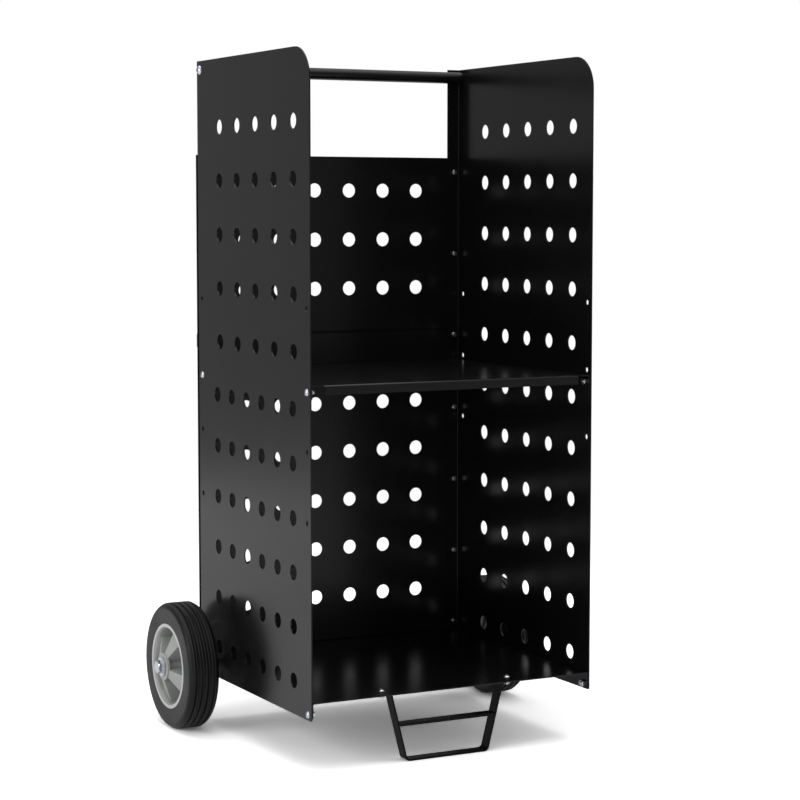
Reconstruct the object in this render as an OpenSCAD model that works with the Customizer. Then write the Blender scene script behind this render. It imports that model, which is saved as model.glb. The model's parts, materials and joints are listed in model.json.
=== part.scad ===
// Fireside log cart: two perforated side panels, a split back, a middle shelf and a
// bottom tray, a round pulling handle, a bent front foot and two wheels on one axle.
//
// Millimetres. +X is to the right, +Y to the back, +Z up. The origin lies on the floor,
// under the middle of the whole cart. Most pieces are drawn in the panel frame: Y counts
// back from the side panels' front edges and Z up from their bottom edges. Wheel pieces
// are drawn along the axle, where Z counts outwards from the side panel's outer face.

/* [Side panels] */
// Height of the side panels
panel_height = 970; // [780:10:1200]
// Depth of the side panels, front edge to rear face
panel_depth = 418; // [330:2:520]
// Width over the side panels' outer faces
frame_width = 474; // [380:2:600]
// Thickness of every folded sheet
sheet_t = 2; // [1.5:0.1:3]
// Inside radius of every sheet fold
fold_r = 1.5; // [1:0.1:3]
// Radius of the panels' top front corners
corner_r = 50; // [20:1:70]
// Radius of the panels' bottom front corners
bottom_corner_r = 3; // [1:0.5:8]
// Width of the flange folded in along each panel's rear edge
rear_flange_w = 23; // [18:0.5:30]

/* [Panel holes] */
// Diameter of the large holes
hole_d = 23; // [16:0.5:28]
// Height between rows above the shelf, before rounding to whole rows
upper_row_pitch = 83; // [60:1:110]
// Height between rows below the shelf, before rounding to whole rows
lower_row_pitch = 80; // [60:1:110]
// Top row, measured down from the panel's top edge
top_row_drop = 105; // [80:1:130]
// Lowest row of the upper section, measured up from the shelf
upper_row_rise = 46; // [30:1:60]
// Highest row of the lower section, measured down from the shelf
lower_row_drop = 37; // [32:1:60]
// Bottom row, measured up from the panel's bottom edge
bottom_row_rise = 50; // [45:1:70]
// Holes in a row above the shelf, on both panels
upper_columns = 5; // [3:1:6]
// Holes in a row below the shelf, left panel
left_lower_columns = 6; // [3:1:6]
// Holes in a row below the shelf, right panel
right_lower_columns = 5; // [3:1:6]
// First and last hole of an upper row, from the front edge and the rear face
upper_row_margin = [56, 90]; // [40:1:110]
// First and last hole of a lower row on the left, from the front edge and the rear face
lower_row_margin = [60, 78]; // [40:1:110]

/* [Shelf and tray] */
// Top of the middle shelf above the panels' bottom edges
shelf_height = 487; // [400:1:590]
// Top of the bottom tray above the panels' bottom edges
tray_height = 27; // [27:1:40]
// Side flanges of the shelf, folded down
shelf_flange = 20; // [18:0.5:30]
// Side flanges of the tray, folded down
tray_flange = 23; // [22:0.5:27]
// Front lip of the shelf, folded down
front_lip = 14; // [10:0.5:20]
// Rear lip of the shelf and of the tray, folded down
rear_lip = 14; // [10:0.5:20]
// Length left off each end of a lip, so that a spanner reaches the nuts
lip_end_cut = 19; // [12:0.5:30]
// Slot between a lip's end and the deck
lip_relief = 2; // [1:0.5:4]
// Deck edge behind the panels' front edges
deck_setback = 1; // [0.5:0.5:5]
// Gap between a deck's rear edge and the inside of the panels' rear folds
deck_rear_gap = 0.5; // [0.5:0.5:3]
// Shelf bolts below the shelf's top
shelf_bolt_drop = 10; // [9:0.5:14]
// Tray bolts below the tray's top
tray_bolt_drop = 18.5; // [17:0.5:19]
// Deck bolts behind the panels' front edges
front_bolt_inset = 12; // [10:0.5:20]
// Deck bolts in front of the panels' rear faces
rear_bolt_inset = 17; // [13:0.5:22]

/* [Spare shelf holes] */
// Diameter of the spare holes for moving the shelf
spare_hole_d = 8; // [6.6:0.1:9]
// Height between spare holes
spare_pitch = 103; // [60:1:120]
// Spare hole next above the shelf bolts
spare_offset = 17; // [15:0.5:30]
// Spare holes of the left panel, in steps from that one
left_spare_steps = [-2, -1, 1]; // [-3:1:3]
// Spare holes of the right panel, in steps from that one
right_spare_steps = [-1, 0, 1]; // [-3:1:3]

/* [Back panels] */
// Top of the upper back panel, measured down from the side panels' top edges
back_top_drop = 146; // [120:1:180]
// Seam between the back panels, measured up from the shelf
seam_rise = 33; // [25:1:50]
// Height over which the upper panel laps the lower one
lap_height = 16; // [14:1:24]
// Bottom edge of the lower back panel above the side panels' bottom edges
back_bottom_rise = 3; // [1:1:8]
// Back panels past the side panels' outer faces, each side
back_overhang = 1; // [0:0.5:2]
// Diameter of the back panels' large holes
back_hole_d = 23; // [16:0.5:28]
// Holes in each row of the back panels
back_columns = 6; // [4:1:6]
// Outermost holes, from the side panels' outer faces
back_column_margin = 82; // [60:1:95]
// Height between the back panels' rows, before rounding to whole rows
back_row_pitch = 80; // [60:1:110]
// Highest row of the lower back panel, measured down from the shelf
lower_back_row_drop = 67; // [45:1:90]
// Lowest row of the lower back panel, above the side panels' bottom edges
lower_back_row_rise = 100; // [60:1:130]
// Highest row of the upper back panel, measured down from its top edge
upper_back_row_drop = 55; // [40:1:80]
// Lowest row of the upper back panel, measured up from the seam
upper_back_row_rise = 89; // [50:1:110]
// Fastening points down each rear flange, above the seam and below it
upper_back_bolts = 2; // [2:1:4]
lower_back_bolts = 4; // [3:1:6]
// Highest fastening point, measured down from the upper back panel's top edge
back_bolt_drop = 24; // [12:1:40]
// Lowest fastening point, measured up from the bottom tray's top
back_bolt_rise = 13; // [10:1:30]

/* [Handle] */
// Outside diameter of the handle tube
tube_d = 19; // [16:0.5:25]
// Wall of the handle tube
tube_wall = 1.5; // [1:0.1:2.5]
// Gap between the tube and the rear flanges
tube_gap = 1.5; // [1:0.5:5]
// Top of the tube below the panels' top edges
tube_drop = 4.5; // [2:0.5:20]
// Length of the threaded plugs in the tube's ends
plug_length = 24; // [18:1:40]

/* [Front foot] */
// Width of the flat bar, along the cart's depth
bar_w = 20; // [16:0.5:25]
// Thickness of the flat bar
bar_t = 3; // [2.5:0.5:5]
// Inside radius of the bar's bends
bar_bend_r = 6; // [4:0.5:10]
// Front face of the foot behind the panels' front edges
foot_setback = 22; // [18:1:60]
// Width of the foot at its corners under the tray, over the bar's middle
foot_top_w = 191; // [150:1:240]
// Width of the foot at its bottom corners, over the bar's middle
foot_bottom_w = 138; // [90:1:150]
// Length of each end tab that is bolted under the tray
foot_tab = 23; // [22:1:45]
// Foot bolts, inwards from the tabs' ends
foot_bolt_inset = 11; // [8:0.5:11]
// Underside of the foot's crossbar above the floor
crossbar_rise = 54; // [30:1:70]
// Thickness of the crossbar
crossbar_t = 4; // [3:0.5:6]

/* [Wheels] */
// Outside diameter of the tyres
wheel_d = 200; // [165:1:240]
// Width of the tyres
tyre_w = 50; // [44:1:60]
// Outside diameter of the rims' lips
rim_d = 134; // [110:1:140]
// Height of a rim's lip over the tyre's seat
lip_rise = 5; // [3:0.5:6]
// Thickness of a rim's lip
lip_t = 3.5; // [2.5:0.5:5]
// Flat face of a rim's lip, before it slopes in to the barrel
lip_face = 5; // [2:0.5:6]
// Depth of that slope
lip_bevel = 5; // [3:0.5:8]
// Walls of the moulded rims: barrel, spokes and pocket floors
rim_wall = 3; // [2:0.5:4]
// Depth of the pockets between the spokes, below the lip
pocket_depth = 40; // [30:1:44]
// Rounding between the pockets' floors and the hub and barrel
pocket_corner = 8; // [4:0.5:12]
// Number of spokes
spokes = 4; // [4:1:5]
// Turn of the first spoke below the forward direction
spoke_turn = 25; // [0:1:90]
// Spoke width at the hub and at the barrel
spoke_w = [7.5, 38]; // [7:0.5:40]
// Depth of the spokes' faces below the rim's lip, at the barrel
spoke_recess = 9.5; // [2:0.5:14]
// Diameter of the hub tube
hub_d = 23; // [20:0.5:30]
// Diameter of the hub's outer boss
boss_d = 43; // [38:1:48]
// Length of that boss
boss_h = 4; // [3.5:0.5:20]
// Boss's front face past the spokes' faces beside it
boss_proud = 2.5; // [1:0.5:3]
// Length of the hub
hub_length = 60; // [56:1:70]
// Hub's outer end past the tyre's outer side
hub_proud = 7.5; // [4:0.5:12]
// Diameter of the bush pressed into the hub
bush_d = 17; // [16:0.5:20]
// Tread grooves around each tyre
grooves = 4; // [2:1:4]
// Distance between the grooves
groove_pitch = 10; // [8:0.5:12]
// Width and depth of a groove
groove_size = [1.8, 2.2]; // [1:0.1:3]
// Width of the flat tread between the round shoulders
tread_w = 28; // [24:1:44]
// Drop of the shoulders from the tread to the tyre's sides
shoulder_drop = 8; // [1:0.5:12]
// Tyre's widest part past the rim's lips
tyre_bulge = 0.5; // [0.2:0.1:1.5]
// How far the tyre's sides draw in from the shoulders to the rim's lips
side_draw = 0.8; // [0.5:0.1:3]

/* [Axle] */
// Diameter of the axle rod
axle_d = 12; // [10:0.5:12.5]
// Middle of the axle above the panels' bottom edges
axle_rise = 17.5; // [17:0.5:18]
// Middle of the axle in front of the panels' rear faces
axle_inset = 32; // [28:1:60]
// Outside diameter of the spacers between the panels and the wheels
spacer_d = 18; // [16:0.5:22]
// Length of the spacers
spacer_length = 15; // [10:0.5:25]
// Diameter and thickness of the axle washers
washer_size = [30, 2.5]; // [2:0.5:34]
// Width across flats and height of the closed axle nuts
axle_nut = [19, 7.5]; // [7:0.5:22]
// Closed end of an axle nut
axle_nut_cap = 2.5; // [2:0.5:3]

/* [Fits and fasteners] */
// Radial clearance of the bushes on the axle
running_clearance = 0.06; // [0.02:0.01:0.09]
// End play of a wheel at each side of its hub
end_play = 0.5; // [0.4:0.1:1]
// Diameter added to holes that a bolt or the axle passes through
hole_clearance = 0.6; // [0.4:0.1:1]
// Thread of the shelf, tray and foot bolts
deck_bolt_d = 6; // [5:1:6]
// Thread of the back panels' bolts
back_bolt_d = 5; // [4:1:6]
// Thread of the handle bolts
handle_bolt_d = 8; // [6:1:10]
// Bolt end past its nut
thread_end = 2; // [1:0.5:4]

/* [Hidden] */
$fn = 96;
// How far a cut runs past what it cuts, and how far joined shapes run into each other
over = 1;

// Bolt heads and nuts, as shares of the thread's diameter
head_d_share = 1.85;
head_h_share = 0.55;
socket_share = 0.72;
nut_h_share = 0.8;
// Depth of the socket, as a share of the head's height
socket_depth_share = 0.6;
// Round end faces of a nut, as a share of its width across flats
nut_face_share = 0.97;
// Spread of the cones that chamfer a nut's outer and inner corners, as shares of its height
nut_cone_shares = [0.6, 0.25];

// Whole cart
axle_y = panel_depth - axle_inset;
panel_bottom = wheel_d/2 - axle_rise;
rear_face = panel_depth + 2*sheet_t;
overall_depth = max(axle_y + wheel_d/2, rear_face + head_h_share*back_bolt_d);
half_width = frame_width/2;
inner_half = half_width - sheet_t;
fold_out = fold_r + sheet_t;

// Holes of the side panels
shelf_bolt_z = shelf_height - shelf_bolt_drop;
tray_bolt_z = tray_height - tray_bolt_drop;
deck_bolt_ys = [front_bolt_inset, panel_depth - rear_bolt_inset];
upper_rows = rows(shelf_height + upper_row_rise, panel_height - top_row_drop, upper_row_pitch);
lower_rows = rows(bottom_row_rise, shelf_height - lower_row_drop, lower_row_pitch);

// Decks
deck_front = deck_setback;
deck_rear = panel_depth - fold_out - deck_rear_gap;

// Back panels
back_top = panel_height - back_top_drop;
seam_z = shelf_height + seam_rise;
lap_top = seam_z + lap_height;
lap_bolt_z = seam_z + lap_height/2;
joggle = 3*sheet_t;
lap_gap = 1;
joggle_shift = 1;
flange_bolt_x = half_width - rear_flange_w/2;
upper_bolt_zs = [for (i = [1 : upper_back_bolts])
    lap_bolt_z + i*(back_top - back_bolt_drop - lap_bolt_z)/upper_back_bolts];
lower_bolt_zs = [for (i = [1 : lower_back_bolts])
    lap_bolt_z - i*(lap_bolt_z - tray_height - back_bolt_rise)/lower_back_bolts];
upper_back_rows = rows(seam_z + upper_back_row_rise, back_top - upper_back_row_drop, back_row_pitch);
lower_back_rows = rows(lower_back_row_rise, shelf_height - lower_back_row_drop, back_row_pitch);

// Handle
tube_y = panel_depth - sheet_t - tube_gap - tube_d/2;
tube_z = panel_height - tube_drop - tube_d/2;
plug_d = tube_d - 2*tube_wall;

// Foot: the bar's middle line, from one tab's end to the other
tab_z = tray_height - sheet_t - bar_t/2;
floor_bar_z = -panel_bottom + bar_t/2;
foot_end_x = foot_top_w/2 + foot_tab;
foot_corners = [
    [-foot_end_x, tab_z],
    [-foot_top_w/2, tab_z],
    [-foot_bottom_w/2, floor_bar_z],
    [foot_bottom_w/2, floor_bar_z],
    [foot_top_w/2, tab_z],
    [foot_end_x, tab_z]
];
foot_bolt_x = foot_end_x - foot_bolt_inset;
foot_bolt_y = foot_setback + bar_w/2;
leg_slope = (foot_top_w - foot_bottom_w)/2/(tab_z - floor_bar_z);
crossbar_z = [crossbar_rise - panel_bottom, crossbar_rise - panel_bottom + crossbar_t];

// Wheel, measured outwards from the side panel's outer face
washer_t = washer_size[1];
hub_inner = spacer_length + washer_t + end_play;
hub_outer = hub_inner + hub_length;
outer_washer = hub_outer + end_play;
nut_seat = outer_washer + washer_t;
rod_end = nut_seat + axle_nut[1] - axle_nut_cap;
tyre_outer = hub_outer - hub_proud;
tyre_mid = tyre_outer - tyre_w/2;
rim_half = tyre_w/2 - tyre_bulge;
lip_end = tyre_mid + rim_half;
seat_r = rim_d/2 - lip_rise;
barrel_r = seat_r - rim_wall;
corner_sink = 1;
spoke_rim_z = lip_end - spoke_recess;
spoke_hub_z = hub_outer - boss_proud;
pocket_z = lip_end - pocket_depth;
disc_low = pocket_z - rim_wall/2;
shoulder_steps = 10;

// ---- Functions ----

// Evenly spaced heights from low to high, as near to the pitch as whole rows allow
function rows(low, high, pitch) =
    let (steps = max(1, round((high - low)/pitch)))
    [for (i = [0 : steps]) low + i*(high - low)/steps];

// Evenly spaced places for a row of count holes
function spread(first, last, count) =
    [for (i = [0 : count - 1]) first + i*(last - first)/(count - 1)];

// An outline that is the same above and below Y = 0, from its upper half
function both_halves(upper) =
    concat(upper, [for (i = [len(upper) - 1 : -1 : 0]) [upper[i][0], -upper[i][1]]]);

function unit(v) = v/norm(v);
function turn_by(v, a) = [v[0]*cos(a) - v[1]*sin(a), v[0]*sin(a) + v[1]*cos(a)];

// One rounded corner of a bent bar: [point, side direction] pairs along its middle line
function bend(before, corner, after, r, steps = 12) =
    let (
        d1 = unit(corner - before),
        d2 = unit(after - corner),
        hand = sign(d1[0]*d2[1] - d1[1]*d2[0]),
        angle = acos(d1*d2),
        side = turn_by(d1, 90),
        centre = corner - d1*r*tan(angle/2) + hand*r*side
    )
    [for (i = [0 : steps]) let (s = turn_by(side, hand*angle*i/steps)) [centre - hand*r*s, s]];

// The whole middle line of a bent bar, with straight ends
function bar_line(p, r) =
    let (
        last = len(p) - 1,
        bends = [for (k = [1 : last - 1]) each bend(p[k - 1], p[k], p[k + 1], r)]
    )
    concat(
        [[p[0], turn_by(unit(p[1] - p[0]), 90)]],
        bends,
        [[p[last], turn_by(unit(p[last] - p[last - 1]), 90)]]
    );

// ---- Frames and sketch planes ----

// From the panel frame to the cart's own frame
module on_cart() {
    translate([0, -overall_depth/2, panel_bottom]) children();
}

// A sketch in Y and Z, given a thickness along X from x
module across_x(x, thickness) {
    translate([x, 0, 0]) rotate([90, 0, 90]) linear_extrude(thickness) children();
}

// A sketch in X and Z, given a thickness along Y from y
module across_y(y, thickness) {
    translate([0, y + thickness, 0]) rotate([90, 0, 0]) linear_extrude(thickness) children();
}

// The same thing at both sides of the cart
module both_sides() {
    children();
    mirror([1, 0, 0]) children();
}

// Wheel pieces at one side, -1 left or 1 right: +Z outwards, +X up and +Y to the back
module on_axle(side) {
    mirror([max(side, 0), 0, 0]) translate([-half_width, axle_y, axle_rise]) rotate([0, -90, 0])
        children();
}

module powder_black() {
    color([0.13, 0.13, 0.14]) children();
}

module zinc() {
    color([0.78, 0.79, 0.8]) children();
}

// ---- Sheet metal ----

// The rounded fold between a sheet along +X and a sheet along +Y
module fold() {
    intersection() {
        translate([fold_out, fold_out]) difference() {
            circle(fold_out);
            circle(fold_r);
        }
        square(fold_out);
    }
}

// A fold with its flange along +Y, to put on the edge of a sheet along +X
module flange_profile(height) {
    fold();
    translate([0, fold_out]) square([sheet_t, height - fold_out]);
}

// Holes for the deck bolts, in Y and Z
module deck_bolt_holes(z) {
    for (y = deck_bolt_ys) translate([y, z]) circle(d = deck_bolt_d + hole_clearance);
}

// The flat part of a side panel, in Y and Z, up to the start of its rear fold
module side_panel_face(lower_columns, lower_margin, spare_steps) {
    difference() {
        square([panel_depth - fold_out, panel_height]);
        translate([0, panel_height - corner_r]) difference() {
            translate([-over, 0]) square(corner_r + over);
            translate([corner_r, 0]) circle(corner_r);
        }
        difference() {
            translate([-over, -over]) square(bottom_corner_r + over);
            translate([bottom_corner_r, bottom_corner_r]) circle(bottom_corner_r);
        }
        for (z = upper_rows)
            for (y = spread(upper_row_margin[0], panel_depth - upper_row_margin[1], upper_columns))
                translate([y, z]) circle(d = hole_d);
        for (z = lower_rows)
            for (y = spread(lower_margin[0], panel_depth - lower_margin[1], lower_columns))
                translate([y, z]) circle(d = hole_d);
        for (y = deck_bolt_ys)
            for (k = spare_steps)
                translate([y, shelf_bolt_z + spare_offset + k*spare_pitch]) circle(d = spare_hole_d);
        deck_bolt_holes(shelf_bolt_z);
        deck_bolt_holes(tray_bolt_z);
        translate([axle_y, axle_rise]) circle(d = axle_d + hole_clearance);
        translate([tube_y, tube_z]) circle(d = handle_bolt_d + hole_clearance);
    }
}

// Fastening holes down a rear flange, in X and Z
module flange_bolt_holes(zs) {
    for (z = zs) translate([-flange_bolt_x, z]) circle(d = back_bolt_d + hole_clearance);
}

// A side panel, drawn at the left
module side_panel(lower_columns, lower_margin, spare_steps) {
    across_x(-half_width, sheet_t) side_panel_face(lower_columns, lower_margin, spare_steps);
    difference() {
        linear_extrude(panel_height) translate([-half_width, panel_depth]) rotate(-90)
            flange_profile(rear_flange_w);
        across_y(panel_depth - sheet_t - over, sheet_t + 2*over)
            flange_bolt_holes(concat(upper_bolt_zs, [lap_bolt_z], lower_bolt_zs));
    }
}

module left_side_panel() {
    powder_black() on_cart()
        side_panel(left_lower_columns, lower_row_margin, left_spare_steps);
}

module right_side_panel() {
    powder_black() on_cart() mirror([1, 0, 0])
        side_panel(right_lower_columns, upper_row_margin, right_spare_steps);
}

// Large holes of a back panel, in X and Z
module back_holes(zs) {
    reach = half_width - back_column_margin;
    for (z = zs)
        for (x = spread(-reach, reach, back_columns))
            translate([x, z]) circle(d = back_hole_d);
}

module upper_back_panel() {
    width = frame_width + 2*back_overhang;
    powder_black() on_cart() difference() {
        across_x(-width/2, width) translate([panel_depth, 0]) polygon([
            [0, back_top],
            [0, lap_top + joggle],
            [sheet_t, lap_top + lap_gap],
            [sheet_t, seam_z],
            [2*sheet_t, seam_z],
            [2*sheet_t, lap_top + lap_gap + joggle_shift],
            [sheet_t, lap_top + joggle + joggle_shift],
            [sheet_t, back_top]
        ]);
        across_y(panel_depth - over, 2*sheet_t + 2*over) {
            back_holes(upper_back_rows);
            both_sides() flange_bolt_holes(concat(upper_bolt_zs, [lap_bolt_z]));
        }
    }
}

module lower_back_panel() {
    width = frame_width + 2*back_overhang;
    powder_black() on_cart() across_y(panel_depth, sheet_t) difference() {
        translate([-width/2, back_bottom_rise]) square([width, lap_top - back_bottom_rise]);
        back_holes(lower_back_rows);
        both_sides() flange_bolt_holes(concat([lap_bolt_z], lower_bolt_zs));
    }
}

// A deck between the side panels: side flanges down, and lips down at front and rear
module folded_deck(top, flange, front_lip_h, rear_lip_h) {
    lip_x = inner_half - lip_end_cut;
    difference() {
        across_y(deck_front, deck_rear - deck_front) translate([0, top]) {
            translate([fold_out - inner_half, -sheet_t]) square([2*(inner_half - fold_out), sheet_t]);
            both_sides() translate([-inner_half, 0]) mirror([0, 1]) flange_profile(flange);
        }
        if (front_lip_h > 0)
            translate([-lip_x, deck_front - over, top - sheet_t - over])
                cube([2*lip_x, fold_out + over, sheet_t + 2*over]);
        if (rear_lip_h > 0)
            translate([-lip_x, deck_rear - fold_out, top - sheet_t - over])
                cube([2*lip_x, fold_out + over, sheet_t + 2*over]);
    }
    lip_half = lip_x - lip_relief;
    if (front_lip_h > 0)
        across_x(-lip_half, 2*lip_half) translate([deck_front, top]) mirror([0, 1])
            flange_profile(front_lip_h);
    if (rear_lip_h > 0)
        across_x(-lip_half, 2*lip_half) translate([deck_rear, top]) rotate(180)
            flange_profile(rear_lip_h);
}

module middle_shelf() {
    powder_black() on_cart() difference() {
        folded_deck(shelf_height, shelf_flange, front_lip, rear_lip);
        across_x(-half_width, frame_width) deck_bolt_holes(shelf_bolt_z);
    }
}

module bottom_tray() {
    powder_black() on_cart() difference() {
        folded_deck(tray_height, tray_flange, 0, rear_lip);
        across_x(-half_width, frame_width) {
            deck_bolt_holes(tray_bolt_z);
            translate([axle_y, axle_rise]) circle(d = axle_d + hole_clearance);
        }
        both_sides() translate([-foot_bolt_x, foot_bolt_y, tray_height - sheet_t - over])
            cylinder(h = sheet_t + 2*over, d = deck_bolt_d + hole_clearance);
    }
}

// ---- Fasteners, drawn along +Z from the face under the bolt head ----

// A domed socket bolt: the head lies below Z = 0 and the shank above it
module socket_bolt(d, length) {
    head_d = head_d_share*d;
    head_h = head_h_share*d;
    dome_r = (head_d*head_d/4 + head_h*head_h)/(2*head_h);
    difference() {
        union() {
            intersection() {
                translate([0, 0, dome_r - head_h]) sphere(dome_r);
                translate([0, 0, -head_h]) cylinder(h = head_h, d = head_d);
            }
            cylinder(h = length, d = d);
        }
        translate([0, 0, -head_h - over])
            cylinder(h = over + socket_depth_share*head_h, d = socket_share*d, $fn = 6);
    }
}

// A hexagon nut with chamfered corners, standing on Z = 0
module hex_nut(d, flats, height) {
    nut_r = flats/2/cos(30);
    face_r = nut_face_share*flats/2;
    difference() {
        intersection() {
            cylinder(h = height, r = nut_r, $fn = 6);
            cylinder(h = height, r1 = nut_r + nut_cone_shares[0]*height, r2 = face_r);
            cylinder(h = height, r1 = face_r + nut_cone_shares[1]*height, r2 = nut_r + height);
        }
        translate([0, 0, -over]) cylinder(h = height + 2*over, d = d);
    }
}

// Width across flats and height of a common nut
function nut_flats(d) = d == 8 ? 13 : d == 6 ? 10 : d == 5 ? 8 : 1.65*d;
function nut_height(d) = nut_h_share*d;

// Something that lies along +Z, turned to point into the cart from the left panel
module from_left(y, z, x = 0) {
    translate([-half_width + x, y, z]) rotate([0, 90, 0]) children();
}

// Deck bolts and nuts at one height, both sides
module deck_bolts(z) {
    length = 2*sheet_t + nut_height(deck_bolt_d) + thread_end;
    both_sides() for (y = deck_bolt_ys) from_left(y, z) socket_bolt(deck_bolt_d, length);
}

module deck_nuts(z) {
    both_sides() for (y = deck_bolt_ys)
        from_left(y, z, 2*sheet_t)
            hex_nut(deck_bolt_d, nut_flats(deck_bolt_d), nut_height(deck_bolt_d));
}

module shelf_bolts() {
    zinc() on_cart() deck_bolts(shelf_bolt_z);
}

module shelf_nuts() {
    zinc() on_cart() deck_nuts(shelf_bolt_z);
}

module tray_bolts() {
    zinc() on_cart() deck_bolts(tray_bolt_z);
}

module tray_nuts() {
    zinc() on_cart() deck_nuts(tray_bolt_z);
}

// Something that lies along +Z, turned to point forwards from a back panel's rear face
module from_rear(z, sheets) {
    translate([-flange_bolt_x, panel_depth + sheets*sheet_t, z]) rotate([90, 0, 0]) children();
}

// Sheets between a bolt's head and its nut: three at the lap, two elsewhere
module back_panel_bolts() {
    grip_end = nut_height(back_bolt_d) + thread_end;
    zinc() on_cart() both_sides() {
        for (z = concat(upper_bolt_zs, lower_bolt_zs))
            from_rear(z, 1) socket_bolt(back_bolt_d, 2*sheet_t + grip_end);
        from_rear(lap_bolt_z, 2) socket_bolt(back_bolt_d, 3*sheet_t + grip_end);
    }
}

module back_panel_nuts() {
    zinc() on_cart() both_sides()
        for (z = concat(upper_bolt_zs, [lap_bolt_z], lower_bolt_zs))
            from_rear(z, -1) hex_nut(back_bolt_d, nut_flats(back_bolt_d), nut_height(back_bolt_d));
}

// ---- Handle ----

module handle_tube() {
    powder_black() on_cart() from_left(tube_y, tube_z, sheet_t) difference() {
        cylinder(h = 2*inner_half, d = tube_d);
        translate([0, 0, -over]) cylinder(h = 2*(inner_half + over), d = plug_d);
    }
}

module handle_end_plugs() {
    zinc() on_cart() both_sides() from_left(tube_y, tube_z, sheet_t) difference() {
        cylinder(h = plug_length, d = plug_d);
        translate([0, 0, -over]) cylinder(h = plug_length + 2*over, d = handle_bolt_d);
    }
}

module handle_bolts() {
    zinc() on_cart() both_sides()
        from_left(tube_y, tube_z) socket_bolt(handle_bolt_d, sheet_t + plug_length - thread_end);
}

// ---- Front foot ----

module support_foot() {
    line = bar_line(foot_corners, bar_bend_r + bar_t/2);
    last = len(line) - 1;
    upper = [for (i = [0 : last]) line[i][0] + line[i][1]*bar_t/2];
    lower = [for (i = [last : -1 : 0]) line[i][0] - line[i][1]*bar_t/2];
    powder_black() on_cart() difference() {
        across_y(foot_setback, bar_w) polygon(concat(upper, lower));
        both_sides() translate([-foot_bolt_x, foot_bolt_y, tab_z - bar_t])
            cylinder(h = 2*bar_t, d = deck_bolt_d + hole_clearance);
    }
}

// Half the width between the legs' inner faces at height z
function leg_gap(z) =
    foot_bottom_w/2 + leg_slope*(z - floor_bar_z) - bar_t/2*sqrt(1 + leg_slope*leg_slope);

module foot_crossbar() {
    low = crossbar_z[0];
    high = crossbar_z[1];
    powder_black() on_cart() across_y(foot_setback, bar_w) polygon([
        [-leg_gap(low), low], [leg_gap(low), low], [leg_gap(high), high], [-leg_gap(high), high]
    ]);
}

module foot_bolts() {
    length = sheet_t + bar_t + nut_height(deck_bolt_d) + thread_end;
    zinc() on_cart() both_sides() translate([-foot_bolt_x, foot_bolt_y, tray_height])
        rotate([180, 0, 0]) socket_bolt(deck_bolt_d, length);
}

module foot_nuts() {
    zinc() on_cart() both_sides()
        translate([-foot_bolt_x, foot_bolt_y, tab_z - bar_t/2]) rotate([180, 0, 0])
            hex_nut(deck_bolt_d, nut_flats(deck_bolt_d), nut_height(deck_bolt_d));
}

// ---- Axle ----

module axle_rod() {
    zinc() on_cart() translate([-half_width - rod_end, axle_y, axle_rise]) rotate([0, 90, 0])
        cylinder(h = frame_width + 2*rod_end, d = axle_d);
}

// A ring along the axle
module ring(start, length, outer_d, inner_d) {
    translate([0, 0, start]) difference() {
        cylinder(h = length, d = outer_d);
        translate([0, 0, -over]) cylinder(h = length + 2*over, d = inner_d);
    }
}

module axle_spacers() {
    zinc() on_cart() for (side = [-1, 1]) on_axle(side)
        ring(0, spacer_length, spacer_d, axle_d + hole_clearance/2);
}

module axle_washers() {
    zinc() on_cart() for (side = [-1, 1]) on_axle(side) {
        ring(spacer_length, washer_t, washer_size[0], axle_d + hole_clearance);
        ring(outer_washer, washer_t, washer_size[0], axle_d + hole_clearance);
    }
}

module axle_cap_nuts() {
    zinc() on_cart() for (side = [-1, 1]) on_axle(side) translate([0, 0, nut_seat]) {
        hex_nut(axle_d, axle_nut[0], axle_nut[1]);
        translate([0, 0, axle_nut[1] - axle_nut_cap])
            cylinder(h = axle_nut_cap, d = axle_d + over);
    }
}

// ---- Wheels, drawn along the axle ----

// Section of a tyre: radius across, place along the axle up, from the tyre's middle
module tyre_section() {
    half = tyre_w/2;
    r = wheel_d/2;
    beside_lip = [
        [seat_r, rim_half - lip_t],
        [rim_d/2, rim_half - lip_t],
        [rim_d/2, half - side_draw]
    ];
    run = (tyre_w - tread_w)/2;
    shoulder = [for (i = [0 : shoulder_steps]) let (a = 90*(1 - i/shoulder_steps))
        [r - shoulder_drop*(1 - cos(a)), tread_w/2 + run*sin(a)]];
    difference() {
        polygon(both_halves(concat(beside_lip, shoulder)));
        for (i = [0 : grooves - 1])
            translate([r - groove_size[1], (i - (grooves - 1)/2)*groove_pitch - groove_size[0]/2])
                square([groove_size[1] + over, groove_size[0]]);
    }
}

module tyre(side) {
    color([0.16, 0.16, 0.17]) on_cart() on_axle(side) translate([0, 0, tyre_mid])
        rotate_extrude() tyre_section();
}

// Section of the barrel with a lip at each end, from the tyre's middle
module barrel_section() {
    r = rim_d/2;
    polygon(both_halves([
        [barrel_r, rim_half - lip_bevel],
        [r - lip_face, rim_half],
        [r, rim_half],
        [r, rim_half - lip_t],
        [seat_r, rim_half - lip_t]
    ]));
}

// Section of what lies below the spokes' sloping faces, by a drop, and above a height
module under_spokes(drop, low) {
    root = bush_d/2 - 2*over;
    slope = (spoke_hub_z - spoke_rim_z)/(barrel_r - boss_d/2);
    polygon([
        [root, low],
        [root, spoke_hub_z - drop + slope*corner_sink],
        [boss_d/2 - corner_sink, spoke_hub_z - drop + slope*corner_sink],
        [seat_r + over, spoke_rim_z - drop - slope*(seat_r + over - barrel_r)],
        [seat_r + over, low]
    ]);
}

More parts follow.
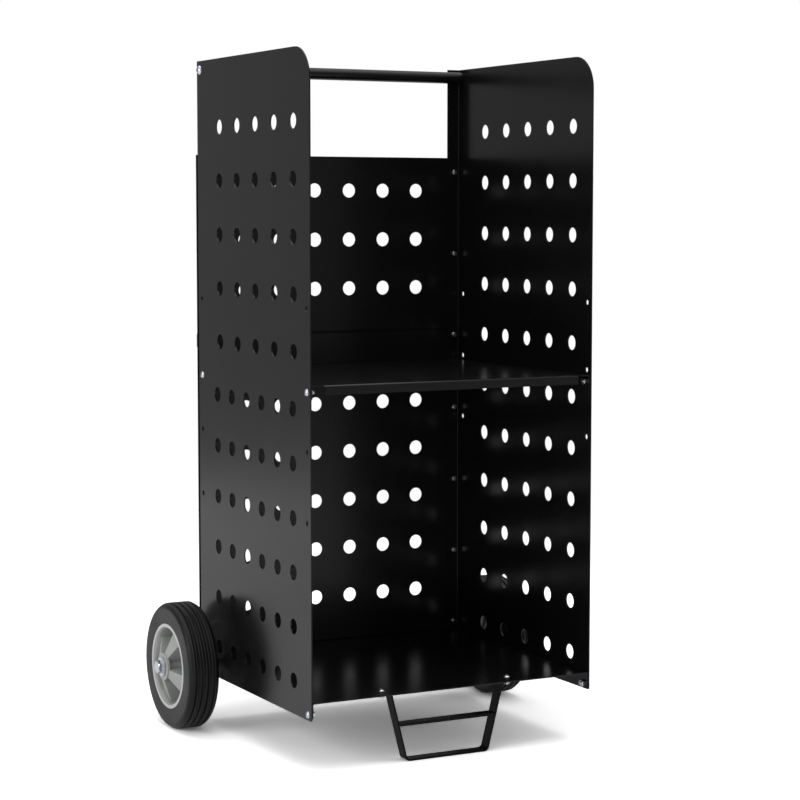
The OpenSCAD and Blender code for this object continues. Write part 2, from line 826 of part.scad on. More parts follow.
// Section of the flat pocket floor, rounded up to the hub and to the barrel
module pocket_floor() {
    left = hub_d/2 - corner_sink;
    right = barrel_r + corner_sink;
    r = pocket_corner;
    steps = [0 : shoulder_steps];
    polygon(concat(
        [[left, pocket_z - rim_wall]],
        [for (i = steps) let (a = 90*i/shoulder_steps) [left + r - r*cos(a), pocket_z + r - r*sin(a)]],
        [for (i = steps) let (a = 90*i/shoulder_steps) [right - r + r*sin(a), pocket_z + r - r*cos(a)]],
        [[right, pocket_z - rim_wall]]
    ));
}

// Outlines of all the spokes, widening from the hub to the barrel, drawn in by a wall
module spoke_outlines(wall) {
    near = bush_d/2 + over/2;
    far = seat_r + 2*over;
    for (i = [0 : spokes - 1]) rotate(i*360/spokes) polygon([
        [near, -spoke_w[0]/2 + wall],
        [near, spoke_w[0]/2 - wall],
        [far, spoke_w[1]/2 - wall],
        [far, -spoke_w[1]/2 + wall]
    ]);
}

// The spokes are channels, closed in front and open behind. The pockets between them are
// closed behind by a flat floor
module spoke_disc() {
    difference() {
        union() {
            rotate_extrude() pocket_floor();
            intersection() {
                rotate_extrude() under_spokes(0, disc_low);
                linear_extrude(2*hub_outer) spoke_outlines(0);
            }
        }
        intersection() {
            rotate_extrude() under_spokes(rim_wall, disc_low - rim_wall);
            linear_extrude(2*hub_outer) spoke_outlines(rim_wall);
        }
    }
}

module wheel_rim(side) {
    color([0.62, 0.63, 0.62]) on_cart() on_axle(side) difference() {
        union() {
            translate([0, 0, tyre_mid]) rotate_extrude() barrel_section();
            translate([0, 0, hub_inner]) cylinder(h = hub_length, d = hub_d);
            translate([0, 0, hub_outer - boss_h]) cylinder(h = boss_h, d = boss_d);
            intersection() {
                cylinder(h = 2*hub_outer, r = seat_r - corner_sink/2);
                rotate(-90 - spoke_turn) spoke_disc();
            }
        }
        translate([0, 0, hub_inner - over]) cylinder(h = hub_length + 2*over, d = bush_d);
    }
}

module hub_bush(side) {
    color([0.85, 0.84, 0.8]) on_cart() on_axle(side)
        ring(hub_inner, hub_length, bush_d, axle_d + 2*running_clearance);
}

module left_tyre() {
    tyre(-1);
}

module right_tyre() {
    tyre(1);
}

module left_wheel_rim() {
    wheel_rim(-1);
}

module right_wheel_rim() {
    wheel_rim(1);
}

module left_hub_bush() {
    hub_bush(-1);
}

module right_hub_bush() {
    hub_bush(1);
}

left_side_panel();
right_side_panel();
upper_back_panel();
lower_back_panel();
middle_shelf();
bottom_tray();
handle_tube();
handle_end_plugs();
handle_bolts();
shelf_bolts();
shelf_nuts();
tray_bolts();
tray_nuts();
back_panel_bolts();
back_panel_nuts();
support_foot();
foot_crossbar();
foot_bolts();
foot_nuts();
axle_rod();
axle_spacers();
axle_washers();
axle_cap_nuts();
left_tyre();
left_wheel_rim();
left_hub_bush();
right_tyre();
right_wheel_rim();
right_hub_bush();
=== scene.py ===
"""Fireside log cart: the finish of its coated sheets, its fasteners and its wheels.

Everything is in metres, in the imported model's frame: +X to the right, +Y to the back, +Z up,
with the origin on the floor under the middle of the cart.
"""
import json
import math

import bmesh
import bpy
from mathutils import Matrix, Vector

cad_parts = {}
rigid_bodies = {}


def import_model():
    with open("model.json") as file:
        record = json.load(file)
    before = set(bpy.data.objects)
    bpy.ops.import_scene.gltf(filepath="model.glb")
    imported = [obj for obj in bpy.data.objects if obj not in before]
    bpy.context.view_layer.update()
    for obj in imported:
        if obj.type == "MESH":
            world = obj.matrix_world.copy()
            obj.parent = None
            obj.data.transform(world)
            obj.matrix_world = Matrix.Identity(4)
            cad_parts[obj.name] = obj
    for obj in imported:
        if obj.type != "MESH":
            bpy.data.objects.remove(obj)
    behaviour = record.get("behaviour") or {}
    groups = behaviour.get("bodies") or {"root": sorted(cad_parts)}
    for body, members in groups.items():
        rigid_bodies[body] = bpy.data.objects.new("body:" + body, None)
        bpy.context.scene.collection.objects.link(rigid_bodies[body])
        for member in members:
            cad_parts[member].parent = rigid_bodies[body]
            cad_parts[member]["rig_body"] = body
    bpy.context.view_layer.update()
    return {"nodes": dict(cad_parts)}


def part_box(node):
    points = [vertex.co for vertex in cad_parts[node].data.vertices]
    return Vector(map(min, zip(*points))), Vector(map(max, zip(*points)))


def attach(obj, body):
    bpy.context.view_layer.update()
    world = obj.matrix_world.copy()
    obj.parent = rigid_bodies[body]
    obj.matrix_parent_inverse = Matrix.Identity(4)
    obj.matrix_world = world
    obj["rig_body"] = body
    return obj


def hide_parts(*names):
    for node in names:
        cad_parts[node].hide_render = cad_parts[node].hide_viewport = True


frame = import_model()

MM = 0.001
WHITE = (1.0, 1.0, 1.0, 1.0)

# ---- Camera, as solved from the photograph's hole rows and panel edges ----
CAMERA_PLACE = (-1.5684, -3.0766, 0.8196)
CAMERA_YAW = 27.51
CAMERA_PITCH = 4.93
LENS_MM = 99.07
SENSOR_MM = 36.0

# ---- Studio ----
FLOOR_SIZE = 80.0
# The floor turns from its own colour to plain white between these distances
FLOOR_NEAR, FLOOR_FAR = 1.2, 2.6
# The floor's colour as it lights the cart, as the camera sees it and as it is mirrored
FLOOR_COLOUR = (0.86, 0.86, 0.86, 1.0)
FLOOR_SEEN_COLOUR = (2.15, 2.15, 2.15, 1.0)
FLOOR_MIRRORED_COLOUR = (1.15, 1.15, 1.15, 1.0)
# Light added to the floor's shadow where it is seen or mirrored
FLOOR_LIFT = 0.035
AMBIENT = 0.40
WALL_RADIUS = 3.46
WALL_HEIGHT = 3.0
WALL_SIDES = 96
WALL_GREY = 0.36
# Each lamp's name, place, the point that it looks at, width, and power in watts
LAMPS = (
    ("overhead_softbox", (-0.1, -0.3, 2.6), (0, 0, 0.2), 2.4, 24.0),
    ("front_left_fill", (-2.6, -2.4, 0.95), (0, 0, 0.2), 1.7, 12.0),
    ("left_softbox", (-3.0, -0.5, 1.25), (0, 0, 0.15), 1.8, 30.0),
    ("right_fill", (2.6, -1.4, 1.1), (0, 0, 0.1), 1.6, 14.0))

# ---- Edge roundings ----
SHEET_EDGE = 0.35 * MM
BAR_EDGE = 0.5 * MM
FASTENER_EDGE = 0.18 * MM
MOULDED_EDGE = 1.0 * MM
EDGE_STEPS = 2
MOULDED_EDGE_STEPS = 3
# Edges that turn by more than this are rounded, and stay sharp in the shading
SHARP_ANGLE = math.radians(38)
TYRE_SHARP_ANGLE = math.radians(50)
# Faces that turn by less than this are one flat face
FLAT_ANGLE = math.radians(0.5)
FLAT_FACE_WEIGHT = 80
MERGE = 0.005 * MM

# ---- Tyres ----
# Only the outline this near to the full radius is tread, and so takes grooves
TREAD_SKIN = 1.0 * MM
TYRE_CORNER_STEPS = 4

# ---- Grain and mottling of the surfaces ----
GRAIN_DETAIL = 2.0
MOTTLE_DETAIL = 5.0
MOTTLE_BREAKUP = 0.62
MOTTLE_DISTORTION = 0.4
MOTTLE_LOW, MOTTLE_HIGH = 0.35, 0.65

# ---- Lips of the rims, painted lighter as a highlight ----
LIP_INNER_RADIUS = 61.5 * MM
LIP_PAINTED_HIGHLIGHT_COLOUR = (0.56, 0.57, 0.56, 1.0)


# ---------------------------------------------------------------- node helpers

def put(tree, kind, inputs=(), **settings):
    """A new node; inputs are (socket name or number, value or another node's output) pairs."""
    node = tree.nodes.new(kind)
    for name, value in settings.items():
        setattr(node, name, value)
    for key, value in inputs:
        socket = node.inputs[key]
        if isinstance(value, bpy.types.NodeSocket):
            tree.links.new(value, socket)
        else:
            socket.default_value = value
    return node


def calc(tree, operation, *values):
    """The result of one Math node."""
    return put(tree, "ShaderNodeMath", list(enumerate(values)), operation=operation).outputs[0]


def blend_values(tree, share, first, second):
    """A number that goes from the first to the second as the share goes from 0 to 1."""
    mix = put(tree, "ShaderNodeMix", [(0, share), (2, first), (3, second)], data_type="FLOAT")
    return mix.outputs[0]


def blend_colours(tree, share, first, second):
    """A colour that goes from the first to the second as the share goes from 0 to 1."""
    mix = put(tree, "ShaderNodeMix", [(0, share), (6, first), (7, second)], data_type="RGBA")
    return mix.outputs[2]


def tree_with(kind, name, inputs, outputs):
    """A node group with named sockets, its input node and its output node."""
    tree = bpy.data.node_groups.new(name, kind)
    for label, socket_type, value in inputs:
        socket = tree.interface.new_socket(label, in_out="INPUT", socket_type=socket_type)
        if value is not None:
            socket.default_value = value
    for label, socket_type in outputs:
        tree.interface.new_socket(label, in_out="OUTPUT", socket_type=socket_type)
    return tree, tree.nodes.new("NodeGroupInput"), tree.nodes.new("NodeGroupOutput")


def effect(tree, group, **inputs):
    """A shader node group placed in a material, with its named inputs set."""
    pairs = [(name.replace("_", " "), value) for name, value in inputs.items()]
    return put(tree, "ShaderNodeGroup", pairs, node_tree=group)


# ---------------------------------------------------------------- shared effects

def make_grain():
    """Fine grain over a broader waviness, as a height in metres."""
    tree, given, result = tree_with(
        "ShaderNodeTree", "grain",
        [("Place", "NodeSocketVector", None),
         ("Grain Size", "NodeSocketFloat", 0.001),
         ("Grain Depth", "NodeSocketFloat", 0.00001),
         ("Wave Size", "NodeSocketFloat", 0.005),
         ("Wave Depth", "NodeSocketFloat", 0.00001)],
        [("Height", "NodeSocketFloat")])
    heights = []
    for size, depth in (("Grain Size", "Grain Depth"), ("Wave Size", "Wave Depth")):
        scale = calc(tree, "DIVIDE", 1.0, given.outputs[size])
        noise = put(tree, "ShaderNodeTexNoise",
                    [("Vector", given.outputs["Place"]), ("Scale", scale),
                     ("Detail", GRAIN_DETAIL)])
        heights.append(calc(tree, "MULTIPLY", noise.outputs[0], given.outputs[depth]))
    tree.links.new(calc(tree, "ADD", *heights), result.inputs["Height"])
    return tree


def make_mottle():
    """A slow variation of a colour and of a roughness over the surface."""
    tree, given, result = tree_with(
        "ShaderNodeTree", "mottle",
        [("Place", "NodeSocketVector", None),
         ("Patch Size", "NodeSocketFloat", 0.05),
         ("Colour", "NodeSocketColor", WHITE),
         ("Other Colour", "NodeSocketColor", WHITE),
         ("Roughness", "NodeSocketFloat", 0.4),
         ("Roughness Spread", "NodeSocketFloat", 0.05)],
        [("Colour", "NodeSocketColor"), ("Roughness", "NodeSocketFloat")])
    scale = calc(tree, "DIVIDE", 1.0, given.outputs["Patch Size"])
    noise = put(tree, "ShaderNodeTexNoise",
                [("Vector", given.outputs["Place"]), ("Scale", scale), ("Detail", MOTTLE_DETAIL),
                 ("Roughness", MOTTLE_BREAKUP), ("Distortion", MOTTLE_DISTORTION)])
    mask = put(tree, "ShaderNodeMapRange",
               [("Value", noise.outputs[0]), ("From Min", MOTTLE_LOW),
                ("From Max", MOTTLE_HIGH)]).outputs[0]
    colour = blend_colours(tree, mask, given.outputs["Colour"], given.outputs["Other Colour"])
    swing = calc(tree, "MULTIPLY", calc(tree, "SUBTRACT", mask, 0.5),
                 given.outputs["Roughness Spread"])
    roughness = calc(tree, "ADD", given.outputs["Roughness"], swing)
    tree.links.new(colour, result.inputs["Colour"])
    tree.links.new(roughness, result.inputs["Roughness"])
    return tree


grain = make_grain()
mottle = make_mottle()


def material(name, mottle_values, grain_values, metallic=0.0, shine=0.5):
    """A material from the shared effects: mottled colour and roughness, and a fine grain."""
    made = bpy.data.materials.new(name)
    made.use_nodes = True
    tree = made.node_tree
    shader = tree.nodes["Principled BSDF"]
    place = tree.nodes.new("ShaderNodeTexCoord").outputs["Object"]
    look = effect(tree, mottle, Place=place, **mottle_values)
    height = effect(tree, grain, Place=place, **grain_values)
    relief = put(tree, "ShaderNodeBump",
                 [("Height", height.outputs[0]), ("Strength", 1.0), ("Distance", 1.0)])
    tree.links.new(look.outputs["Colour"], shader.inputs["Base Color"])
    tree.links.new(look.outputs["Roughness"], shader.inputs["Roughness"])
    tree.links.new(relief.outputs[0], shader.inputs["Normal"])
    shader.inputs["Metallic"].default_value = metallic
    shader.inputs["Specular IOR Level"].default_value = shine
    return made


def make_powder_coat():
    """Satin black powder coat: a fine orange peel and a slight change of gloss."""
    return material(
        "satin_black_powder_coat",
        {"Patch_Size": 0.09,
         "Colour": (0.0040, 0.0039, 0.0041, 1), "Other_Colour": (0.0054, 0.0053, 0.0055, 1),
         "Roughness": 0.22, "Roughness_Spread": 0.03},
        {"Grain_Size": 0.0009, "Grain_Depth": 0.000003,
         "Wave_Size": 0.0042, "Wave_Depth": 0.000009},
        shine=0.25)


def make_shaded_foot_coat():
    """A darker, duller copy of the black powder coat for the foot's flat bar: painted shade."""
    return material(
        "dull_black_powder_coat_painted_shade",
        {"Patch_Size": 0.05,
         "Colour": (0.0032, 0.0031, 0.0033, 1), "Other_Colour": (0.0046, 0.0045, 0.0047, 1),
         "Roughness": 0.30, "Roughness_Spread": 0.05},
        {"Grain_Size": 0.0009, "Grain_Depth": 0.000004,
         "Wave_Size": 0.0035, "Wave_Depth": 0.000009},
        shine=0.10)


def make_zinc():
    """Bright zinc plate on bolts, nuts, washers and the axle."""
    return material(
        "bright_zinc_plate",
        {"Patch_Size": 0.006,
         "Colour": (0.64, 0.65, 0.68, 1), "Other_Colour": (0.50, 0.52, 0.57, 1),
         "Roughness": 0.22, "Roughness_Spread": 0.12},
        {"Grain_Size": 0.0006, "Grain_Depth": 0.000006,
         "Wave_Size": 0.002, "Wave_Depth": 0.00001},
        metallic=1.0)


def make_rubber():
    """Solid black rubber, dulled by mould release."""
    return material(
        "solid_black_rubber",
        {"Patch_Size": 0.035,
         "Colour": (0.0048, 0.0048, 0.0051, 1), "Other_Colour": (0.0080, 0.0080, 0.0084, 1),
         "Roughness": 0.38, "Roughness_Spread": 0.10},
        {"Grain_Size": 0.0008, "Grain_Depth": 0.000010,
         "Wave_Size": 0.006, "Wave_Depth": 0.00002},
        shine=0.22)


def make_rim_plastic():
    """Light grey moulded plastic of the wheel rims, with lips in a lighter colour: a painted
    highlight.
    """
    made = material(
        "light_grey_moulding",
        {"Patch_Size": 0.04,
         "Colour": (0.40, 0.41, 0.40, 1), "Other_Colour": (0.36, 0.37, 0.36, 1),
         "Roughness": 0.46, "Roughness_Spread": 0.10},
        {"Grain_Size": 0.0007, "Grain_Depth": 0.00001,
         "Wave_Size": 0.005, "Wave_Depth": 0.00002})
    tree = made.node_tree
    base = tree.nodes["Principled BSDF"].inputs["Base Color"]
    low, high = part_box("left_tyre")
    axle = (low + high) / 2
    place = tree.nodes.new("ShaderNodeTexCoord").outputs["Object"]
    spot = put(tree, "ShaderNodeSeparateXYZ", [(0, place)])
    back = calc(tree, "SUBTRACT", spot.outputs[1], axle.y)
    up = calc(tree, "SUBTRACT", spot.outputs[2], axle.z)
    squares = calc(tree, "ADD", calc(tree, "MULTIPLY", back, back), calc(tree, "MULTIPLY", up, up))
    reach = calc(tree, "SQRT", squares)
    # The lip ring takes a lighter colour: a painted highlight.
    lip_highlight_mask = put(tree, "ShaderNodeMapRange",
                 [("Value", reach), ("From Min", LIP_INNER_RADIUS),
                  ("From Max", LIP_INNER_RADIUS + MM)]).outputs[0]
    tree.links.new(blend_colours(tree, lip_highlight_mask, base.links[0].from_socket, LIP_PAINTED_HIGHLIGHT_COLOUR), base)
    return made


def make_bush_plastic():
    """Off-white plain bearing plastic."""
    return material(
        "off_white_bearing_plastic",
        {"Patch_Size": 0.01,
         "Colour": (0.72, 0.70, 0.65, 1), "Other_Colour": (0.64, 0.62, 0.56, 1),
         "Roughness": 0.38, "Roughness_Spread": 0.08},
        {"Grain_Size": 0.0005, "Grain_Depth": 0.000005,
         "Wave_Size": 0.003, "Wave_Depth": 0.00001})


powder_black = make_powder_coat()
foot_shaded_black = make_shaded_foot_coat()
zinc = make_zinc()
rubber = make_rubber()
rim_plastic = make_rim_plastic()
bush_plastic = make_bush_plastic()


# ---------------------------------------------------------------- finished copies of the CAD pieces

def link(name, mesh):
    """A new object at the origin that holds a mesh."""
    piece = bpy.data.objects.new(name, mesh)
    bpy.context.scene.collection.objects.link(piece)
    return piece


def smooth_by_angle(mesh, angle=SHARP_ANGLE):
    """Smooth shading that stays sharp where two faces meet at more than an angle."""
    work = bmesh.new()
    work.from_mesh(mesh)
    for edge in work.edges:
        edge.smooth = len(edge.link_faces) == 2 and edge.calc_face_angle(math.pi) < angle
    for face in work.faces:
        face.smooth = True
    work.to_mesh(mesh)
    work.free()


def flatten_modifiers(piece):
    """Applies a piece's modifiers, and gives its new mesh."""
    graph = bpy.context.evaluated_depsgraph_get()
    mesh = bpy.data.meshes.new_from_object(piece.evaluated_get(graph))
    piece.modifiers.clear()
    piece.data = mesh
    return mesh


def finished_copy(node, coat, edge, steps=EDGE_STEPS):
    """A copy of a CAD piece whose sharp edges are rounded as the real, coated ones are."""
    mesh = frame["nodes"][node].data.copy()
    work = bmesh.new()
    work.from_mesh(mesh)
    bmesh.ops.remove_doubles(work, verts=work.verts, dist=MERGE)
    bmesh.ops.dissolve_limit(work, angle_limit=FLAT_ANGLE, verts=work.verts, edges=work.edges)
    work.to_mesh(mesh)
    work.free()
    mesh.materials.clear()
    mesh.materials.append(coat)
    piece = link(node + "_finished", mesh)
    bevel = piece.modifiers.new("rounded edges", "BEVEL")
    bevel.width = edge
    bevel.segments = steps
    bevel.limit_method = "ANGLE"
    bevel.angle_limit = SHARP_ANGLE
    bevel.use_clamp_overlap = True
    bevel.miter_outer = "MITER_ARC"
    smooth_by_angle(flatten_modifiers(piece))
    weighted = piece.modifiers.new("flat faces stay flat", "WEIGHTED_NORMAL")
    weighted.keep_sharp = True
    weighted.weight = FLAT_FACE_WEIGHT
    flatten_modifiers(piece)
    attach(piece, frame["nodes"][node]["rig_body"])
    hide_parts(node)


SHEETS = ("left_side_panel", "right_side_panel", "upper_back_panel", "lower_back_panel",
          "middle_shelf", "bottom_tray")
FOOT = ("support_foot", "foot_crossbar")
FASTENERS = ("handle_bolts", "shelf_bolts", "shelf_nuts", "tray_bolts", "tray_nuts",
             "back_panel_bolts", "back_panel_nuts", "foot_bolts", "foot_nuts", "axle_rod",
             "axle_spacers", "axle_washers", "axle_cap_nuts", "handle_end_plugs")

for name in SHEETS:
    finished_copy(name, powder_black, SHEET_EDGE)
finished_copy("handle_tube", powder_black, BAR_EDGE)
# The foot takes a darker copy of the coat: painted shade.
for name in FOOT:
    finished_copy(name, foot_shaded_black, BAR_EDGE)
for name in FASTENERS:
    finished_copy(name, zinc, FASTENER_EDGE)
for side in ("left", "right"):
    finished_copy(side + "_wheel_rim", rim_plastic, MOULDED_EDGE, MOULDED_EDGE_STEPS)
    finished_copy(side + "_hub_bush", bush_plastic, FASTENER_EDGE)


# ---------------------------------------------------------------- tyres, by Geometry Nodes

def make_tyre_tree():
    """A solid tyre: a rounded section with grooves, carried once round the axle along X."""
    size = "NodeSocketFloat"
    tree, given, result = tree_with(
        "GeometryNodeTree", "solid_tyre",
        [("Centre", "NodeSocketVector", None),
         ("Diameter", size, 0.2), ("Seat Diameter", size, 0.124), ("Lip Diameter", size, 0.134),
         ("Width", size, 0.05), ("Seat Width", size, 0.042), ("Corner Radius", size, 0.0009),
         ("Tread Width", size, 0.028), ("Shoulder Drop", size, 0.008),
         ("Side Draw", size, 0.0010),
         ("Groove Pitch", size, 0.01), ("Groove Count", "NodeSocketInt", 4),
         ("Groove Width", size, 0.0012), ("Groove Depth", size, 0.0022),
         ("Groove Edge", size, 0.0006),
         ("Bead Width", size, 0.0020), ("Bead Height", size, 0.0008),
         ("Steps Around", "NodeSocketInt", 120), ("Steps Across", "NodeSocketInt", 480),
         ("Rubber", "NodeSocketMaterial", None)],
        [("Geometry", "NodeSocketGeometry")])
    g = {socket.name: socket for socket in given.outputs}

    def do(operation, *values):
        return calc(tree, operation, *values)

    def half_of(value):
        return do("MULTIPLY", value, 0.5)

    radius = half_of(g["Diameter"])
    seat = half_of(g["Seat Diameter"])
    half_width = half_of(g["Width"])
    height = do("SUBTRACT", radius, seat)

    # section: a rounded rectangle from the rim's seat out to the tread
    outline = put(tree, "GeometryNodeCurvePrimitiveQuadrilateral",
                  [("Width", g["Width"]), ("Height", height)])
    rounded = put(tree, "GeometryNodeFilletCurve",
                  [("Curve", outline.outputs[0]), ("Radius", g["Corner Radius"]),
                   ("Count", TYRE_CORNER_STEPS)], mode="POLY")

    # a sheet whose first side goes round the axle and whose second follows the section
    sheet = put(tree, "GeometryNodeMeshGrid",
                [("Size X", 1.0), ("Size Y", 1.0),
                 ("Vertices X", do("ADD", g["Steps Around"], 1.0)),
                 ("Vertices Y", do("ADD", g["Steps Across"], 1.0))])
    position = tree.nodes.new("GeometryNodeInputPosition").outputs[0]
    cell = put(tree, "ShaderNodeSeparateXYZ", [(0, position)])
    turn = do("MULTIPLY", do("ADD", cell.outputs[0], 0.5), 2 * math.pi)
    along = do("ADD", cell.outputs[1], 0.5)
    sample = put(tree, "GeometryNodeSampleCurve",
                 [("Curves", rounded.outputs[0]), ("Factor", along)],
                 mode="FACTOR", use_all_curves=True)
    spot = put(tree, "ShaderNodeSeparateXYZ", [(0, sample.outputs["Position"])])
    across = spot.outputs[0]
    out = do("ADD", spot.outputs[1], do("ADD", seat, half_of(height)))

    # grooves: the distance to the nearest one, then a depth with soft edges, on the tread alone
    count = g["Groove Count"]
    last = do("SUBTRACT", count, 1.0)
    step = do("ADD", do("DIVIDE", across, g["Groove Pitch"]), half_of(last))
    nearest = do("MINIMUM", do("MAXIMUM", do("ROUND", step), 0.0), last)
    gap = do("MULTIPLY", do("ABSOLUTE", do("SUBTRACT", step, nearest)), g["Groove Pitch"])
    half_groove = half_of(g["Groove Width"])
    groove_end = do("ADD", half_groove, g["Groove Edge"])
    cut = put(tree, "ShaderNodeMapRange",
              [("Value", gap), ("From Min", half_groove), ("From Max", groove_end),
               ("To Min", 1.0), ("To Max", 0.0)], interpolation_type="SMOOTHSTEP").outputs[0]

    # beads: a low ridge beside each groove, whose top is the tyre's full radius
    half_bead = half_of(g["Bead Width"])
    off_bead = do("ABSOLUTE", do("SUBTRACT", gap, do("ADD", groove_end, half_bead)))
    bead = put(tree, "ShaderNodeMapRange",
               [("Value", off_bead), ("From Min", 0.0), ("From Max", half_bead),
                ("To Min", g["Bead Height"]), ("To Max", 0.0)],
               interpolation_type="SMOOTHSTEP").outputs[0]
    relief = do("SUBTRACT", do("MULTIPLY", cut, g["Groove Depth"]), bead)
    relief = do("ADD", relief, g["Bead Height"])
    on_tread = do("GREATER_THAN", out, do("SUBTRACT", radius, TREAD_SKIN))
    relief = do("MULTIPLY", relief, on_tread)

    # shoulders: a quarter of an ellipse from the flat tread down to the sides
    half_tread = half_of(g["Tread Width"])
    run = do("SUBTRACT", half_width, half_tread)
    past = do("MAXIMUM", do("SUBTRACT", do("ABSOLUTE", across), half_tread), 0.0)
    share = do("DIVIDE", past, run)
    left_over = do("SQRT", do("SUBTRACT", 1.0, do("MULTIPLY", share, share)))
    crown = do("MULTIPLY", do("SUBTRACT", 1.0, left_over), g["Shoulder Drop"])
    rise = do("DIVIDE", do("SUBTRACT", out, seat), height)
    out = do("SUBTRACT", out, do("MULTIPLY", do("ADD", relief, crown), rise))

    # sides: drawn in towards the rim's lip, and clear of the lip itself
    draw_in = do("MULTIPLY", do("POWER", do("SUBTRACT", 1.0, rise), 2.0), g["Side Draw"])
    across = do("SUBTRACT", across, do("MULTIPLY", do("SIGN", across), draw_in))
    lip = half_of(g["Lip Diameter"])
    half_seat = half_of(g["Seat Width"])
    held = do("MINIMUM", do("MAXIMUM", across, do("MULTIPLY", half_seat, -1.0)), half_seat)
    across = blend_values(tree, do("LESS_THAN", out, lip), across, held)

    # the section's points carried round the axle, closed into one skin
    place = put(tree, "ShaderNodeCombineXYZ",
                [(0, across), (1, do("MULTIPLY", out, do("COSINE", turn))),
                 (2, do("MULTIPLY", out, do("SINE", turn)))])
    moved = put(tree, "ShaderNodeVectorMath",
                [(0, place.outputs[0]), (1, g["Centre"])], operation="ADD")
    shaped = put(tree, "GeometryNodeSetPosition",
                 [("Geometry", sheet.outputs[0]), ("Position", moved.outputs[0])])
    closed = put(tree, "GeometryNodeMergeByDistance",
                 [("Geometry", shaped.outputs[0]), ("Distance", MERGE)])
    real = put(tree, "GeometryNodeRealizeInstances", [(0, closed.outputs[0])])
    coated = put(tree, "GeometryNodeSetMaterial",
                 [("Geometry", real.outputs[0]), ("Material", g["Rubber"])])
    tree.links.new(coated.outputs[0], result.inputs[0])
    return tree


def grown(name, tree, values):
    """The plain piece that a Geometry Nodes tree makes from its named inputs."""
    piece = link(name, bpy.data.meshes.new(name))
    modifier = piece.modifiers.new("grown", "NODES")
    modifier.node_group = tree
    sockets = {s.name: s.identifier for s in tree.interface.items_tree if s.in_out == "INPUT"}
    for label, value in values.items():
        modifier[sockets[label]] = value
    mesh = flatten_modifiers(piece)
    work = bmesh.new()
    work.from_mesh(mesh)
    bmesh.ops.recalc_face_normals(work, faces=work.faces)
    work.to_mesh(mesh)
    work.free()
    return piece


tyre_tree = make_tyre_tree()
for side in ("left", "right"):
    low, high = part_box(side + "_tyre")
    tyre = grown(side + "_tyre_rubber", tyre_tree,
                 {"Centre": (low + high) / 2, "Diameter": high.z - low.z,
                  "Width": high.x - low.x, "Rubber": rubber})
    smooth_by_angle(tyre.data, TYRE_SHARP_ANGLE)
    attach(tyre, side + "_wheel")
    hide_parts(side + "_tyre")


# ---------------------------------------------------------------- studio

def background_rays(tree):
    """1 for the rays that show a background: camera, glossy and transmission rays."""
    path = tree.nodes.new("ShaderNodeLightPath")
    mirrored = calc(tree, "MAXIMUM", path.outputs["Is Glossy Ray"],
                    path.outputs["Is Transmission Ray"])
    return calc(tree, "MAXIMUM", path.outputs["Is Camera Ray"], mirrored)


def stage_material(name):
    """An empty material for a piece of the studio, and its node tree."""
    made = bpy.data.materials.new(name)
    made.use_nodes = True
    made.node_tree.nodes.clear()
    return made, made.node_tree


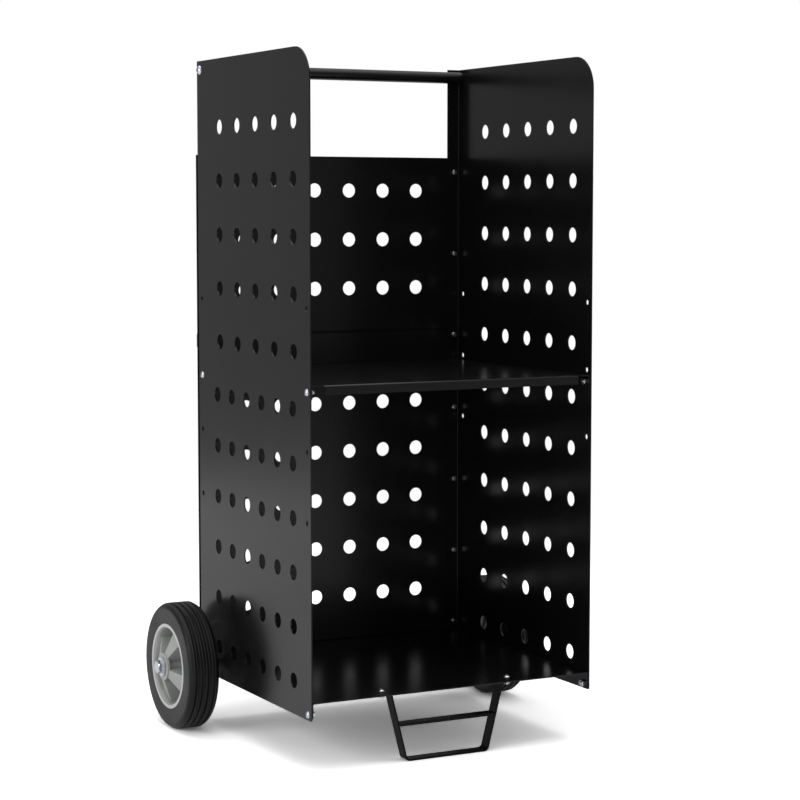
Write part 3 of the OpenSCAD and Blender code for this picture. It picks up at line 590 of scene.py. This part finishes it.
def make_floor():
    """A pale floor that keeps the cart's shadow near it and turns to plain white further out."""
    bpy.ops.mesh.primitive_plane_add(size=FLOOR_SIZE)
    floor = bpy.context.object
    floor.name = "studio_floor"
    made, tree = stage_material("studio_floor_white")
    place = tree.nodes.new("ShaderNodeTexCoord").outputs["Object"]
    reach = put(tree, "ShaderNodeVectorMath", [(0, place)], operation="LENGTH").outputs["Value"]
    far = put(tree, "ShaderNodeMapRange",
              [("Value", reach), ("From Min", FLOOR_NEAR), ("From Max", FLOOR_FAR)],
              interpolation_type="SMOOTHSTEP").outputs[0]
    seen = background_rays(tree)
    direct = tree.nodes.new("ShaderNodeLightPath").outputs["Is Camera Ray"]
    pale = blend_colours(tree, seen, FLOOR_COLOUR, FLOOR_MIRRORED_COLOUR)
    shown = blend_colours(tree, direct, pale, FLOOR_SEEN_COLOUR)
    lit = put(tree, "ShaderNodeBsdfDiffuse", [("Color", shown)])
    lift = put(tree, "ShaderNodeEmission",
               [("Color", WHITE), ("Strength", calc(tree, "MULTIPLY", seen, FLOOR_LIFT))])
    near = put(tree, "ShaderNodeAddShader", [(0, lit.outputs[0]), (1, lift.outputs[0])])
    white = put(tree, "ShaderNodeEmission", [("Color", WHITE), ("Strength", 1.0)])
    mixed = put(tree, "ShaderNodeMixShader",
                [(0, calc(tree, "MULTIPLY", far, seen)), (1, near.outputs[0]),
                 (2, white.outputs[0])])
    put(tree, "ShaderNodeOutputMaterial", [("Surface", mixed.outputs[0])])
    floor.data.materials.append(made)


def make_wall():
    """A dim wall round the studio, which only reflections show."""
    bpy.ops.mesh.primitive_cylinder_add(
        vertices=WALL_SIDES, radius=WALL_RADIUS, depth=WALL_HEIGHT, end_fill_type="NOTHING",
        location=(0, 0, WALL_HEIGHT / 2))
    wall = bpy.context.object
    wall.name = "studio_wall"
    made, tree = stage_material("studio_wall_grey")
    glow = put(tree, "ShaderNodeEmission", [("Color", WHITE), ("Strength", WALL_GREY)])
    put(tree, "ShaderNodeOutputMaterial", [("Surface", glow.outputs[0])])
    wall.data.materials.append(made)
    wall.visible_camera = False
    wall.visible_diffuse = False
    wall.visible_shadow = False
    wall.visible_transmission = False


def make_world():
    """White where it is seen, and an even ambient light elsewhere."""
    world = bpy.data.worlds.new("studio")
    bpy.context.scene.world = world
    world.use_nodes = True
    tree = world.node_tree
    shine = tree.nodes["Background"]
    shine.inputs["Color"].default_value = WHITE
    level = blend_values(tree, background_rays(tree), AMBIENT, 1.0)
    tree.links.new(level, shine.inputs["Strength"])


def soft_light(name, place, target, width, power):
    """A square area lamp that looks at a point."""
    lamp = bpy.data.lights.new(name, "AREA")
    lamp.size = width
    lamp.energy = power
    holder = bpy.data.objects.new(name, lamp)
    holder.location = place
    aim = Vector(target) - Vector(place)
    holder.rotation_euler = aim.to_track_quat("-Z", "Y").to_euler()
    bpy.context.scene.collection.objects.link(holder)


def make_camera():
    """The camera at the photograph's viewing angle."""
    lens = bpy.data.cameras.new("photo_view")
    lens.lens = LENS_MM
    lens.sensor_width = SENSOR_MM
    holder = bpy.data.objects.new("photo_view", lens)
    holder.location = CAMERA_PLACE
    holder.rotation_euler = (math.radians(90 - CAMERA_PITCH), 0, math.radians(-CAMERA_YAW))
    bpy.context.scene.collection.objects.link(holder)
    bpy.context.scene.camera = holder


make_floor()
make_wall()
make_world()
make_camera()
for lamp_values in LAMPS:
    soft_light(*lamp_values)
bpy.context.scene.view_settings.view_transform = "Standard"
